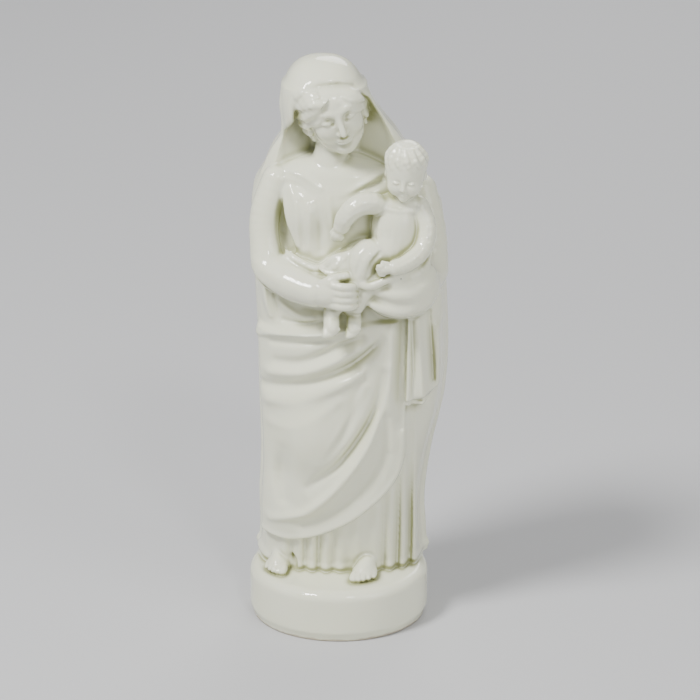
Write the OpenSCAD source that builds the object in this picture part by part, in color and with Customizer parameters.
// Standing Madonna with Child in glazed porcelain, on a round plinth.
// The figure is made as a porcelain maker lutes it together: hollow slip-cast
// robe panels on a hollow plinth, with solid-cast head, arms, feet and child.
// Frame: origin at the middle of the plinth's foot, +Z up, the figure faces -Y.

/* [Plinth] */
// Diameter of the plinth at its widest
plinth_d = 52.5; // [50:0.5:66]
// Height of the plinth's flat top
plinth_h = 15.5; // [12:0.5:20]
// Radius of the rounded top edge
plinth_round = 3; // [1:0.5:4]
// How far the foot line sits inside the widest diameter
foot_inset = 0.8; // [0.2:0.1:2]
// Width of the foot ring that the plinth stands on
foot_ring_w = 4; // [3:0.5:6]
// Height of the hollow under the plinth
recess_h = 10.5; // [6:0.5:11]
// Diameter of the kiln vent through the plinth's top
vent_d = 8; // [5:0.5:10]
// Height of the collar that locates the robe on the plinth
collar_h = 2.5; // [1.5:0.5:4]

/* [Robe] */
// Height of the robe, from the plinth's top to the collar
robe_h = 121.5; // [100:0.5:148]
// Width of the robe at its hem
hem_w = 47.5; // [40:0.5:50]
// Depth of the robe at its hem
hem_depth = 33; // [27.5:0.5:40]
// Width of the robe at the knees
knee_w = 46; // [38:0.5:56]
// Width of the robe at the hips
hip_w = 54.5; // [45:0.5:66]
// Depth of the robe at the hips
hip_depth = 36.5; // [30:0.5:44]
// Width across the upper arms
bust_w = 54; // [45:0.5:65]
// Depth through the chest
bust_depth = 32; // [27:0.5:38]
// Width across the shoulders at the collar
shoulder_w = 44; // [37:0.5:53]
// Length of the mantle's end that hangs from the left arm
fall_len = 33; // [24:0.5:40]
// How far that end stands proud of the mantle under it
fall_t = 1.8; // [1.2:0.1:2.6]
// Depth of its upright pleats
fall_pleat = 0.7; // [0.2:0.1:1]
// Thickness of the slip-cast wall
wall = 3.5; // [2.5:0.1:4.5]
// How far the mantle's cloth stands proud of the tunic under it
mantle_step = 1.4; // [0.8:0.1:2.2]
// Depth of the mantle's folds
fold_depth = 0.8; // [0.2:0.1:1.2]
// Depth of the tunic's upright pleats
pleat_depth = 0.7; // [0.2:0.1:1]

/* [Head] */
// Width of the head with its hair
head_w = 18.4; // [15:0.2:22]
// Height of the head from chin to crown
head_h = 24.5; // [20:0.5:26]
// Diameter of the neck, and of the spigot that it is luted in by
neck_d = 9.5; // [7.5:0.25:11.5]
// Depth of the neck's socket below the collar
neck_socket_h = 7; // [5:0.5:9]

/* [Arms and hands] */
// Diameter of the sleeve at the elbow
sleeve_d = 10.4; // [8:0.2:12.4]
// Diameter of the sleeve at its cuff
cuff_d = 7.6; // [6.6:0.2:9]
// Diameter of the spigot that joins the hand to the cuff
wrist_d = 4; // [3:0.25:5]
// Thickness of a finger
finger_d = 2.2; // [1.7:0.1:2.7]
// Thickness of a toe
toe_d = 2.4; // [1.8:0.1:3]

/* [Child] */
// Width of the child's body
child_w = 13.5; // [11:0.5:16]
// Width of the child's head
child_head_w = 12; // [10:0.2:14.4]
// Height of the child's head
child_head_h = 16; // [13:0.5:19]
// Diameter of the child's neck spigot
child_neck_d = 4.5; // [3.5:0.25:5.5]
// Thickness of the child's arms
child_arm_d = 4.6; // [3.8:0.2:5.6]
// Thickness of the child's legs
child_leg_d = 5.6; // [4.6:0.2:6.8]

/* [Joints] */
// Gap left for slip in a luted spigot, all round
luting_gap = 0.1; // [0.05:0.05:0.3]

/* [Hidden] */

glaze = "#dcddd2";
ball_fn = 12;      // facets of the spheres that the soft forms are hulled from
panel_steps = 16;  // steps round half of the robe
panel_rows = 12;   // steps up a panel
squareness = 2.3;  // 2 is an ellipse, more is boxier

// A height given as a share of the robe, from the plinth's top to the collar.
function up(share) = plinth_h + share * robe_h;

collar_z = up(1);
arm_z = up(0.74);    // level of the mother's right forearm
child_z = up(0.80);  // level of the child's seat
socket_z = collar_z - neck_socket_h;

// Robe outline: height, centre x, centre y, half width, half depth.
robe_rows = [
    [up(0), 0.6, 6, hem_w / 2, hem_depth / 2],
    [up(0.06), 0.9, 5, hem_w / 2 - 0.5, hem_depth / 2 + 0.6],
    [up(0.16), 0.7, 3.4, knee_w / 2, hip_depth / 2 - 0.3],
    [up(0.28), 2, 2.6, knee_w / 2 + 0.9, hip_depth / 2],
    [up(0.42), 3.6, 2.2, hip_w / 2 - 1.2, hip_depth / 2],
    [up(0.55), 3.9, 2, hip_w / 2, hip_depth / 2],
    [up(0.68), 3.4, 2.2, hip_w / 2, hip_depth / 2 - 0.3],
    [up(0.78), 2.8, 3, bust_w / 2 + 0.2, bust_depth / 2 + 0.8],
    [up(0.885), 2.2, 3.6, bust_w / 2, bust_depth / 2],
    [up(0.945), 1.6, 4.2, bust_w / 2 - 1.6, bust_depth / 2 - 1.2],
    [up(1), 0.4, 4.6, shoulder_w / 2, bust_depth / 2 - 3.2]
];

// Veil outline over the shoulders and head, rows as above, heights from the collar.
veil_rows = [
    [0, 0.4, 4.6, shoulder_w / 2, bust_depth / 2 - 3.2],
    [5, -0.2, 4.4, shoulder_w / 2 - 3.4, 12.6],
    [10, 0.2, 3.8, head_w / 2 + 7.5, 13],
    [14.5, -0.8, 3, head_w / 2 + 5.4, 13.4],
    [19, -2.4, 2, head_w / 2 + 4.3, 13.6],
    [24, -3.8, 1, head_w / 2 + 3, 12.8],
    [28, -4.6, 0.4, head_w / 2 + 1.3, 10.8],
    [31, -5, 0, head_w / 2 - 0.9, 8],
    [32.8, -5, 0, head_w / 2 - 4.9, 4]
];

// Catmull-Rom through rows whose first value is the height.
function row_index(rows, z, i = 0) =
    i >= len(rows) - 2 || z < rows[i + 1][0] ? i : row_index(rows, z, i + 1);
function row_at(rows, z) =
    let(i = row_index(rows, z),
        b = rows[i],
        c = rows[i + 1],
        a = rows[max(i - 1, 0)],
        d = rows[min(i + 2, len(rows) - 1)],
        t = (z - b[0]) / (c[0] - b[0]),
        mb = (c - a) * (c[0] - b[0]) / (c[0] - a[0]),
        mc = (d - b) * (c[0] - b[0]) / (d[0] - b[0]))
    (2 * pow(t, 3) - 3 * pow(t, 2) + 1) * b + (pow(t, 3) - 2 * pow(t, 2) + t) * mb
    + (3 * pow(t, 2) - 2 * pow(t, 3)) * c + (pow(t, 3) - pow(t, 2)) * mc;

function fade(t) = let(u = min(max(t, 0), 1)) u * u * (3 - 2 * u);

// Unit radius of a slightly squared circle in direction th.
function squircle(th) =
    pow(pow(abs(sin(th)), squareness) + pow(abs(cos(th)), squareness), -1 / squareness);

// A point on the robe at angle th (0 is the front, 90 is +X) and height z.
function on_robe(th, z, grow = 0) =
    let(r = row_at(robe_rows, z), s = squircle(th))
    [r[1] + (r[3] + grow) * s * sin(th), r[2] - (r[4] + grow) * s * cos(th), z];

// Angles of the two side seams, where the front and back panels are luted.
seam_left = -92;
seam_right = 82;

// Upright pleats of the tunic, strongest at the hem.
function pleat(th, z) =
    pleat_depth * cos(th * 11) * (1 - fade((z - up(0.1)) / (up(0.5) - up(0.1))));

// Folds of the mantle, which fan out from where the left arm gathers it.
gather = [62, up(0.7)];  // angle and height of the gather
function fan(th, z) =
    let(turn = atan2(gather[1] - z, (gather[0] - th) * 0.42))
    fold_depth * sin(turn * 9) * fade((gather[1] - z) / 20) * fade((seam_right - abs(th)) / 30);

// The mantle's hem across the front, and its rolled upper edge at the waist.
function hem_z(th) = up(0.09) + robe_h * (0.05 * fade((th + 60) / 60) + 0.4 * fade((th - 15) / 50));
function waist_z(th) = up(0.61) + robe_h * 0.05 * fade((th + 60) / 100);

// The mantle's thickness over the shoulders and arms, which fades at the collar.
function shawl(th, z) =
    mantle_step * fade((collar_z - z) / 6)
    * max(1 - fade((z - waist_z(th)) / 6), fade((abs(th) - 62) / 14));

// Folds of the cloak down the back, which vanish at both side seams.
back_folds = 9;
function back_fold(th, z) =
    fold_depth * sin((th - seam_right) * 180 * back_folds / (360 + seam_left - seam_right))
    * fade((up(0.7) - z) / 60);

// The hollow inside, which narrows to the neck's socket under the collar.
neck_at = [-2, 2.5];
function hollow(th, z) =
    let(p = on_robe(th, min(z, up(0.86)), -wall),
        k = fade((z - up(0.84)) / (socket_z - up(0.84))),
        r = neck_d / 2 + luting_gap,
        q = [neck_at[0] + r * sin(th), neck_at[1] - r * cos(th), z])
    [p[0] * (1 - k) + q[0] * k, p[1] * (1 - k) + q[1] * k, z];

// A closed panel between two angles and two height curves, with its own
// outer and inner surface. The angle runs anticlockwise seen from above.
module panel(from, to, low, high, outer, inner, steps = panel_steps, rows = panel_rows) {
    function at(i, j, skin) =
        let(th = from + (to - from) * i / steps,
            z = low(th) + (high(th) - low(th)) * j / rows)
        skin ? outer(th, z) : inner(th, z);
    count = (steps + 1) * (rows + 1);
    function id(i, j, skin) = i * (rows + 1) + j + (skin ? 0 : count);
    function quad(a, b, c, d) = [[a, b, c], [a, c, d]];
    points = [for (skin = [true, false], i = [0:steps], j = [0:rows]) at(i, j, skin)];
    faces = [
        for (i = [0:steps - 1], j = [0:rows - 1])
            each concat(
                quad(id(i, j, true), id(i, j + 1, true), id(i + 1, j + 1, true), id(i + 1, j, true)),
                quad(id(i, j, false), id(i + 1, j, false), id(i + 1, j + 1, false), id(i, j + 1, false))),
        for (j = [0:rows - 1])
            each concat(
                quad(id(0, j, false), id(0, j + 1, false), id(0, j + 1, true), id(0, j, true)),
                quad(id(steps, j, true), id(steps, j + 1, true), id(steps, j + 1, false), id(steps, j, false))),
        for (i = [0:steps - 1])
            each concat(
                quad(id(i, 0, true), id(i + 1, 0, true), id(i + 1, 0, false), id(i, 0, false)),
                quad(id(i, rows, false), id(i + 1, rows, false), id(i + 1, rows, true), id(i, rows, true)))
    ];
    polyhedron(points, faces, convexity = 8);
}

// A soft form through points, each [x, y, z, radius].
module limb(points) {
    for (i = [0:len(points) - 2])
        hull() {
            ball(points[i]);
            ball(points[i + 1]);
        }
}

module ball(p) {
    translate([p[0], p[1], p[2]]) sphere(r = p[3], $fn = ball_fn);
}

module egg(at, size, turn = [0, 0, 0]) {
    translate(at) rotate(turn) scale(size) sphere(r = 1, $fn = ball_fn + 4);
}

// Stacked oval slices, each hulled to the next. Rows as for the robe.
module stack(rows, lift, shrink = 0, stretch = 0) {
    module slice(r) {
        translate([r[1], r[2], r[0] + lift])
            for (y = [0, -stretch])
                translate([0, y, 0])
                    linear_extrude(0.02)
                        scale([r[3] - shrink, r[4] - shrink])
                            circle(r = 1, $fn = 24);
    }
    for (i = [0:len(rows) - 2])
        hull() {
            slice(rows[i]);
            slice(rows[i + 1]);
        }
}

// The whole robe as one solid, which what is luted onto it is cut to.
module robe_block() {
    panel(seam_left, seam_left + 360, function(th) up(0), function(th) collar_z,
          function(th, z) on_robe(th, z, z > hem_z(th > 180 ? th - 360 : th) ? mantle_step : 0),
          function(th, z) [row_at(robe_rows, z)[1] + 0.01 * sin(th),
                           row_at(robe_rows, z)[2] - 0.01 * cos(th), z],
          steps = 2 * panel_steps, rows = 2 * panel_rows);
}

module plinth() {
    r = plinth_d / 2;
    roof = plinth_h - recess_h;
    color(glaze)
        difference() {
            union() {
                rotate_extrude($fn = 96)
                    polygon(concat(
                        [[0, 0], [r - foot_inset, 0], [r - foot_inset / 4, foot_inset * 2]],
                        [for (a = [0:10:90]) [r - plinth_round * (1 - cos(a)),
                                              plinth_h - plinth_round * (1 - sin(a))]],
                        [[0, plinth_h]]));
                translate([neck_at[0], neck_at[1], plinth_h - 0.5])
                    cylinder(d = vent_d + 5, h = collar_h + 0.5, $fn = 64);
            }
            translate([0, 0, -1])
                cylinder(r = r - foot_inset - foot_ring_w, h = recess_h + 1, $fn = 64);
            translate([neck_at[0], neck_at[1], recess_h - 1])
                cylinder(d = vent_d, h = roof + collar_h + 2, $fn = 64);
        }
}

module skirt() {
    color(glaze)
        panel(seam_left, seam_right, function(th) up(0), function(th) hem_z(th),
              function(th, z) on_robe(th, z, pleat(th, z)),
              function(th, z) hollow(th, z), rows = 8);
}

module mantle_wrap() {
    color(glaze)
        panel(seam_left, seam_right, function(th) hem_z(th), function(th) waist_z(th),
              function(th, z) on_robe(th, z, mantle_step + fan(th, z)),
              function(th, z) hollow(th, z));
}

module bodice() {
    color(glaze)
        panel(seam_left, seam_right, function(th) waist_z(th), function(th) collar_z,
              function(th, z) on_robe(th, z, shawl(th, z)),
              function(th, z) hollow(th, z), rows = 10);
}

module cloak() {
    color(glaze)
        panel(seam_right, 360 + seam_left, function(th) up(0), function(th) collar_z,
              function(th, z) on_robe(th, z, mantle_step * fade((collar_z - z) / 6)
                                            + back_fold(th, z)),
              function(th, z) hollow(th, z), steps = 14, rows = 20);
}

// Head placement: it leans to the child, turned and bowed towards him.
head_at = [-1.9, -4.6, collar_z + 19.6];
head_turn = [14, -18, 10];
feature_scale = head_w / 16.6;  // the face's features grow with the head

// The head's place, with the face towards -Y in its own frame.
module head_frame() {
    translate(head_at) rotate(head_turn) children();
}

// The skull with its hair, grown by a gap where the hood is cut to it.
module skull(gap = 0) {
    head_frame()
        scale([head_w / 2 + gap, head_w / 2 + 1 + gap, head_h / 2 - 0.6 + gap])
            sphere(r = 1, $fn = ball_fn + 6);
}

module neck(gap = 0) {
    translate([neck_at[0], neck_at[1], socket_z])
        cylinder(d = neck_d + 2 * gap, h = collar_z - socket_z + 0.01, $fn = 48);
    hull() {
        translate([neck_at[0], neck_at[1], collar_z])
            cylinder(d = neck_d + 2 * gap, h = 0.1, $fn = 32);
        translate([neck_at[0], neck_at[1] - 3, collar_z + 12])
            sphere(d = neck_d + 2 * gap - 0.4, $fn = 24);
    }
}

// The hood's hollow, open to the front and narrowing over the brow.
hollow_rows = [
    [-0.1, -1.6, -2, 13.4, 8],
    [5, -1.4, -3, 11.8, 8.6],
    [10, -1.2, -3.2, head_w / 2 + 2.6, 9],
    [14.5, -1.4, -3.4, head_w / 2 + 1.6, 9],
    [19, -2, -3.6, head_w / 2 + 0.8, 8.6],
    [24, -2.4, -4, head_w / 2 - 1, 7.6],
    [28, -2.2, -5, head_w / 2 - 4, 6]
];

module hood() {
    color(glaze)
        difference() {
            stack(veil_rows, collar_z);
            stack(hollow_rows, collar_z, stretch = 24);
            skull(luting_gap);
            neck(luting_gap);
            head();
            child_head_form(0.1);
        }
}

module head() {
    chin = -head_h / 2 / feature_scale;
    color(glaze)
        difference() {
            union() {
                skull();
                neck();
                head_frame() scale(feature_scale) {
                    // jaw, cheeks, nose, mouth and chin, on even thirds of the face
                    limb([[0, -3.4, -3, 6], [0, -4.4, chin + 3, 3.6]]);
                    limb([[0, -8.8, 0.4, 0.8], [0, -10, -3.2, 1.2]]);
                    limb([[-1.3, -7.9, -6, 0.7], [0, -8.4, -6, 0.8], [1.3, -7.9, -6, 0.7]]);
                    for (side = [-1, 1]) {
                        limb([[side * 1.6, -8.2, 1.2, 0.7], [side * 4.6, -6.9, 0.8, 0.7]]);
                        // a wave of hair from the parting to the ear
                        limb([[side * 0.6, -7.6, 6.6, 1.7], [side * 4.6, -6.4, 5, 2],
                              [side * 7, -3.4, 1.4, 2], [side * 7.2, -0.6, -3, 1.8]]);
                    }
                }
            }
            robe_cut_above();
        }
}

// Everything at the collar and below, apart from the neck's own socket.
module robe_cut_above() {
    difference() {
        translate([-60, -60, collar_z - 60]) cube([120, 120, 60]);
        translate([neck_at[0], neck_at[1], socket_z - 1])
            cylinder(d = neck_d + 0.01, h = 60, $fn = 48);
    }
}

// The mother's right arm, on the viewer's left.
elbow = [-19.2, -8.8, arm_z + 3.4];
cuff = [-8.4, -18.8, arm_z];
module right_sleeve_form(gap = 0) {
    limb([[-16.6, -5.6, up(0.92), sleeve_d / 2 - 1.2 + gap],
          [-18.8, -6.8, up(0.85), sleeve_d / 2 - 0.4 + gap],
          [elbow[0], elbow[1], elbow[2], sleeve_d / 2 + gap],
          [-14, -14.8, arm_z + 1.4, sleeve_d / 2 - 0.6 + gap],
          [cuff[0], cuff[1], cuff[2], cuff_d / 2 + gap]]);
}

module right_sleeve() {
    color(glaze)
        difference() {
            union() {
                right_sleeve_form();
                // sleeve creases round the elbow
                for (k = [0:2])
                    limb([[elbow[0] - 2 + k, elbow[1] - 3 - k, elbow[2] - 4 + k, 1],
                          [elbow[0] + 1 + k, elbow[1] - 4.6 - k, elbow[2] + 2 - k, 1]]);
            }
            robe_block();
            wrist(luting_gap);
            right_hand_form(0.05);
        }
}

// The spigot of the hand, along the forearm.
module wrist(gap = 0) {
    hull() {
        translate([cuff[0] + 3, cuff[1] - 1.6, cuff[2] + 0.2]) sphere(d = wrist_d + 2 * gap, $fn = 16);
        translate([cuff[0] - 2, cuff[1] + 1.6, cuff[2] + 0.4]) sphere(d = wrist_d + 2 * gap, $fn = 16);
    }
}

hand = [-2.2, -21.6, arm_z + 0.4];
module right_hand_form(gap = 0) {
    hull() {
        ball([hand[0] - 1.8, hand[1] + 1.6, hand[2] + 0.2, 3.6 + gap]);
        ball([hand[0] + 1.4, hand[1] + 0.6, hand[2] + 0.4, 3.6 + gap]);
    }
}

module right_hand() {
    f = finger_d / 2;
    color(glaze)
        difference() {
            union() {
                right_hand_form();
                wrist();
                for (k = [0:3])
                    limb([[hand[0] - 1.2, hand[1] - 2, hand[2] + 2.6 - 1.7 * k, f + 0.2],
                          [hand[0] + 2.4, hand[1] - 2.4, hand[2] + 2.4 - 1.8 * k, f],
                          [hand[0] + 4.6, hand[1] + 0.2, hand[2] + 1.8 - 1.8 * k, f]]);
                limb([[hand[0] - 1.6, hand[1], hand[2] + 3.2, f + 0.3],
                      [hand[0] + 2.2, hand[1] - 0.4, hand[2] + 4.4, f]]);
            }
            robe_block();
            child_right_leg_form();
            child_left_leg_form();
        }
}

// The mother's left arm under its bundle of drapery, which the child sits on.
module left_sleeve_form() {
    hull() {
        ball([15.4, -9.6, child_z - 5.4, 8.6]);
        ball([22, -8, child_z - 5, 8.6]);
        ball([25, -5.4, child_z + 2, 7]);
    }
    limb([[24.6, -3.6, child_z + 2, 6.8], [24, -1.8, up(0.93), 5]]);
}

module left_sleeve() {
    color(glaze)
        difference() {
            left_sleeve_form();
            robe_block();
        }
}

// The end of the mantle that hangs from the left arm in upright pleats.
fall_from = 38;  // angles of its two edges
fall_to = 74;
fall_top = child_z - 9;
function fall_hem(th) = fall_top - fall_len + 6 * fade((th - fall_from - 18) / 30);
function fall_skin(th, z) =
    let(edge = fade((th - fall_from) / 9) * fade((fall_to - th) / 9))
    mantle_step + fall_t * (0.35 + 0.65 * edge) + fall_pleat * cos((th - fall_from) * 24) * edge;
module mantle_fall() {
    // the rolled hem follows the pleats
    hem = [for (th = [fall_from + 3:4.2:fall_to - 3])
        concat(on_robe(th, fall_hem(th) + 0.6, fall_skin(th, 0) - 0.5), [0.9])];
    color(glaze)
        difference() {
            union() {
                panel(fall_from, fall_to, function(th) fall_hem(th), function(th) fall_top + 8,
                      function(th, z) on_robe(th, z, fall_skin(th, z)),
                      function(th, z) on_robe(th, z, mantle_step - 0.4), rows = 8);
                limb(hem);
            }
            robe_block();
            mantle_wrap();
            skirt();
            left_sleeve_form();
        }
}

// The mantle's edge drawn over the forearm and under the child.
module lap_cloth() {
    color(glaze)
        difference() {
            union() {
                limb([[-13.6, -11.4, arm_z + 5, 3], [-9, -13.4, arm_z + 4, 3.4],
                      [-4, -15, arm_z + 5.4, 3.6], [1, -15.4, arm_z + 7, 3.8],
                      [6, -14.6, arm_z + 9.6, 3.6], [9, -13.4, arm_z + 13, 2.6]]);
                limb([[-8, -14.6, arm_z + 0.4, 3.6], [-2, -15.6, arm_z + 1, 4],
                      [4, -15.4, arm_z + 2, 4.4], [9, -13.4, arm_z + 2, 4.4]]);
            }
            robe_block();
            right_sleeve_form(0.05);
            right_hand_form(0.05);
            wrist(luting_gap);
            left_sleeve_form();
            child_torso_form();
            child_right_leg_form();
            child_left_leg_form();
            child_right_arm_form();
        }
}

// A foot at a heel point, turned about Z, toes towards -Y. The big toe is on
// the side that flip gives.
module foot(heel, turn, flip) {
    t = toe_d / 2;
    translate([heel[0], heel[1], plinth_h])
        rotate(turn)
            difference() {
                union() {
                    limb([[0, 2, 4.4, 2.6], [0, -1, 2.6, 2.8]]);
                    hull() {
                        ball([0, -1, 2.2, 2.8]);
                        ball([-1.4, -6.6, 1.4, 1.9]);
                        ball([1.4, -6.6, 1.4, 1.9]);
                    }
                    for (k = [0:4]) {
                        side = flip * (2.5 - 1.25 * k);
                        limb([[side * 0.85, -6, 1.2, t],
                              [side, -9.6 + 0.14 * pow(k, 2), t * 0.7, t * (1 - 0.08 * k)]]);
                    }
                }
                translate([-20, -20, -20]) cube([40, 40, 20]);
            }
}

// The lower front of the robe as one lean solid, for the feet to be cut to.
module robe_foot() {
    hull()
        for (share = [0, 0.14])
            translate([robe_rows[0][1], robe_rows[0][2], up(share)])
                linear_extrude(0.02)
                    polygon([for (th = [0:12:348])
                        (let(p = on_robe(th, up(share), pleat(th, up(share)))) [p[0], p[1]])
                        - [robe_rows[0][1], robe_rows[0][2]]]);
}

module right_foot() {
    color(glaze)
        difference() {
            foot([-15.8, -2.4], -14, 1);
            robe_foot();
            skirt();
        }
}

module left_foot() {
    color(glaze)
        difference() {
            foot([9.4, -8.2], -8, -1);
            robe_foot();
            skirt();
        }
}

// The child sits on the left arm, turned a little to his mother.
seat = [16.6, -13.4, child_z];
module child_torso_form() {
    hull() {
        egg([seat[0] + 0.8, seat[1] + 0.6, seat[2] + 4], [child_w / 2, 6, 6]);
        egg([seat[0] + 1.2, seat[1] + 0.4, seat[2] + 14.6], [child_w / 2 - 0.6, 4.6, 4]);
    }
}

child_neck = [seat[0] + 1.8, seat[1] - 0.4, seat[2] + 18];
module child_neck_spigot(gap = 0) {
    translate([child_neck[0], child_neck[1], child_neck[2] - 4])
        cylinder(d = child_neck_d + 2 * gap, h = 8, $fn = 32);
}

module child_torso() {
    color(glaze)
        difference() {
            child_torso_form();
            robe_block();
            left_sleeve_form();
            child_neck_spigot(luting_gap);
            child_head_form(0.05);
        }
}

child_head_at = [child_neck[0] + 0.2, child_neck[1] - 0.2, child_neck[2] + 9];
child_head_turn = [8, 4, -28];
module child_head_form(gap = 0) {
    egg(child_head_at, [child_head_w / 2 + gap, child_head_w / 2 + 0.4 + gap, child_head_h / 2 + gap],
        child_head_turn);
}

module child_head() {
    color(glaze)
        difference() {
            union() {
                child_head_form();
                child_neck_spigot();
                translate(child_head_at) rotate(child_head_turn) {
                    // cheeks, nose, mouth and chin
                    limb([[-2, -4, -2.6, 2.2], [0, -4.2, -4.6, 2.2], [2, -4, -2.6, 2.2]]);
                    limb([[0, -6.2, 0, 0.5], [0, -6.9, -1.8, 0.8]]);
                    // curls round the brow
                    for (a = [-70:28:70])
                        limb([[5.4 * sin(a), -5.4 * cos(a), 3.6, 1.1],
                              [4.4 * sin(a + 14), -4.4 * cos(a + 14), 5.2, 1.1]]);
                }
            }
            robe_block();
            left_sleeve_form();
        }
}

module child_right_arm_form() {
    r = child_arm_d / 2;
    limb([[seat[0] - 3.4, seat[1] - 2.2, seat[2] + 15.2, r],
          [seat[0] - 8.6, seat[1] - 5.2, seat[2] + 15.6, r],
          [seat[0] - 13.4, seat[1] - 4.6, seat[2] + 12.6, r * 0.9],
          [seat[0] - 16.2, seat[1] - 3.4, seat[2] + 9.4, r * 0.8]]);
}

module child_right_arm() {
    r = child_arm_d / 2;
    color(glaze)
        difference() {
            union() {
                child_right_arm_form();
                for (k = [0:3])
                    limb([[seat[0] - 15.6, seat[1] - 4 + 0.5 * k, seat[2] + 10.6 - 0.4 * k, 0.8],
                          [seat[0] - 17.4, seat[1] - 3.2 + 0.5 * k, seat[2] + 8 - 0.4 * k, 0.7]]);
                ball([seat[0] - 16, seat[1] - 3.4, seat[2] + 9, r * 0.9]);
            }
            robe_block();
            child_torso_form();
            child_head_form(0.05);
        }
}

module child_left_arm() {
    r = child_arm_d / 2;
    color(glaze)
        difference() {
            union() {
                limb([[seat[0] + 5.8, seat[1] - 1.6, seat[2] + 13.4, r],
                      [seat[0] + 7.4, seat[1] - 3.2, seat[2] + 8.4, r],
                      [seat[0] + 6.6, seat[1] - 5.6, seat[2] + 4.4, r * 0.95],
                      [seat[0] + 2, seat[1] - 8.4, seat[2] + 1.8, r * 0.85],
                      [seat[0] - 1.2, seat[1] - 9.4, seat[2] + 0.6, r * 0.8]]);
                for (k = [0:3])
                    limb([[seat[0] - 1, seat[1] - 10 + 0.3 * k, seat[2] + 1.2 - 0.8 * k, 0.8],
                          [seat[0] - 3.2, seat[1] - 10.2 + 0.3 * k, seat[2] + 0.4 - 0.8 * k, 0.7]]);
            }
            robe_block();
            left_sleeve_form();
            child_torso_form();
            child_head_form(0.05);
            child_left_leg_form();
        }
}

module child_right_leg_form() {
    r = child_leg_d / 2;
    limb([[seat[0] - 4, seat[1] - 2, seat[2] + 1.6, r + 1],
          [seat[0] - 10.4, seat[1] - 5.6, seat[2] + 1.4, r + 0.6],
          [seat[0] - 15.4, seat[1] - 7, seat[2] - 5.6, r - 0.2],
          [seat[0] - 17.6, seat[1] - 7.6, seat[2] - 12.4, r - 0.6]]);
}

module child_left_leg_form() {
    r = child_leg_d / 2;
    limb([[seat[0] + 1, seat[1] - 3.4, seat[2] + 0.6, r + 1],
          [seat[0] - 4.6, seat[1] - 7.6, seat[2] - 1, r + 0.4],
          [seat[0] - 10, seat[1] - 7.6, seat[2] - 8, r - 0.4],
          [seat[0] - 12, seat[1] - 7.6, seat[2] - 14, r - 0.8]]);
}

// A small foot that hangs toes down from an ankle point.
module small_foot(ankle) {
    translate(ankle) {
        limb([[0, 1, 0.4, 1.8], [0, -0.6, -2.6, 1.7], [0, -1.6, -4.4, 1.4]]);
        for (k = [-2:2])
            limb([[0.6 * k, -1.4, -4, 0.6], [0.75 * k, -2.2, -5.6 + 0.1 * k, 0.55]]);
    }
}

module child_right_leg() {
    color(glaze)
        difference() {
            union() {
                child_right_leg_form();
                small_foot([seat[0] - 17.8, seat[1] - 7.4, seat[2] - 13]);
            }
            robe_block();
            left_sleeve_form();
            child_torso_form();
        }
}

module child_left_leg() {
    color(glaze)
        difference() {
            union() {
                child_left_leg_form();
                small_foot([seat[0] - 12.2, seat[1] - 7.4, seat[2] - 14]);
            }
            robe_block();
            left_sleeve_form();
            child_torso_form();
            child_right_leg_form();
            small_foot([seat[0] - 17.8, seat[1] - 7.4, seat[2] - 13]);
        }
}

plinth();
skirt();
mantle_wrap();
bodice();
cloak();
hood();
head();
right_sleeve();
right_hand();
left_sleeve();
mantle_fall();
lap_cloth();
right_foot();
left_foot();
child_torso();
child_head();
child_right_arm();
child_left_arm();
child_right_leg();
child_left_leg();
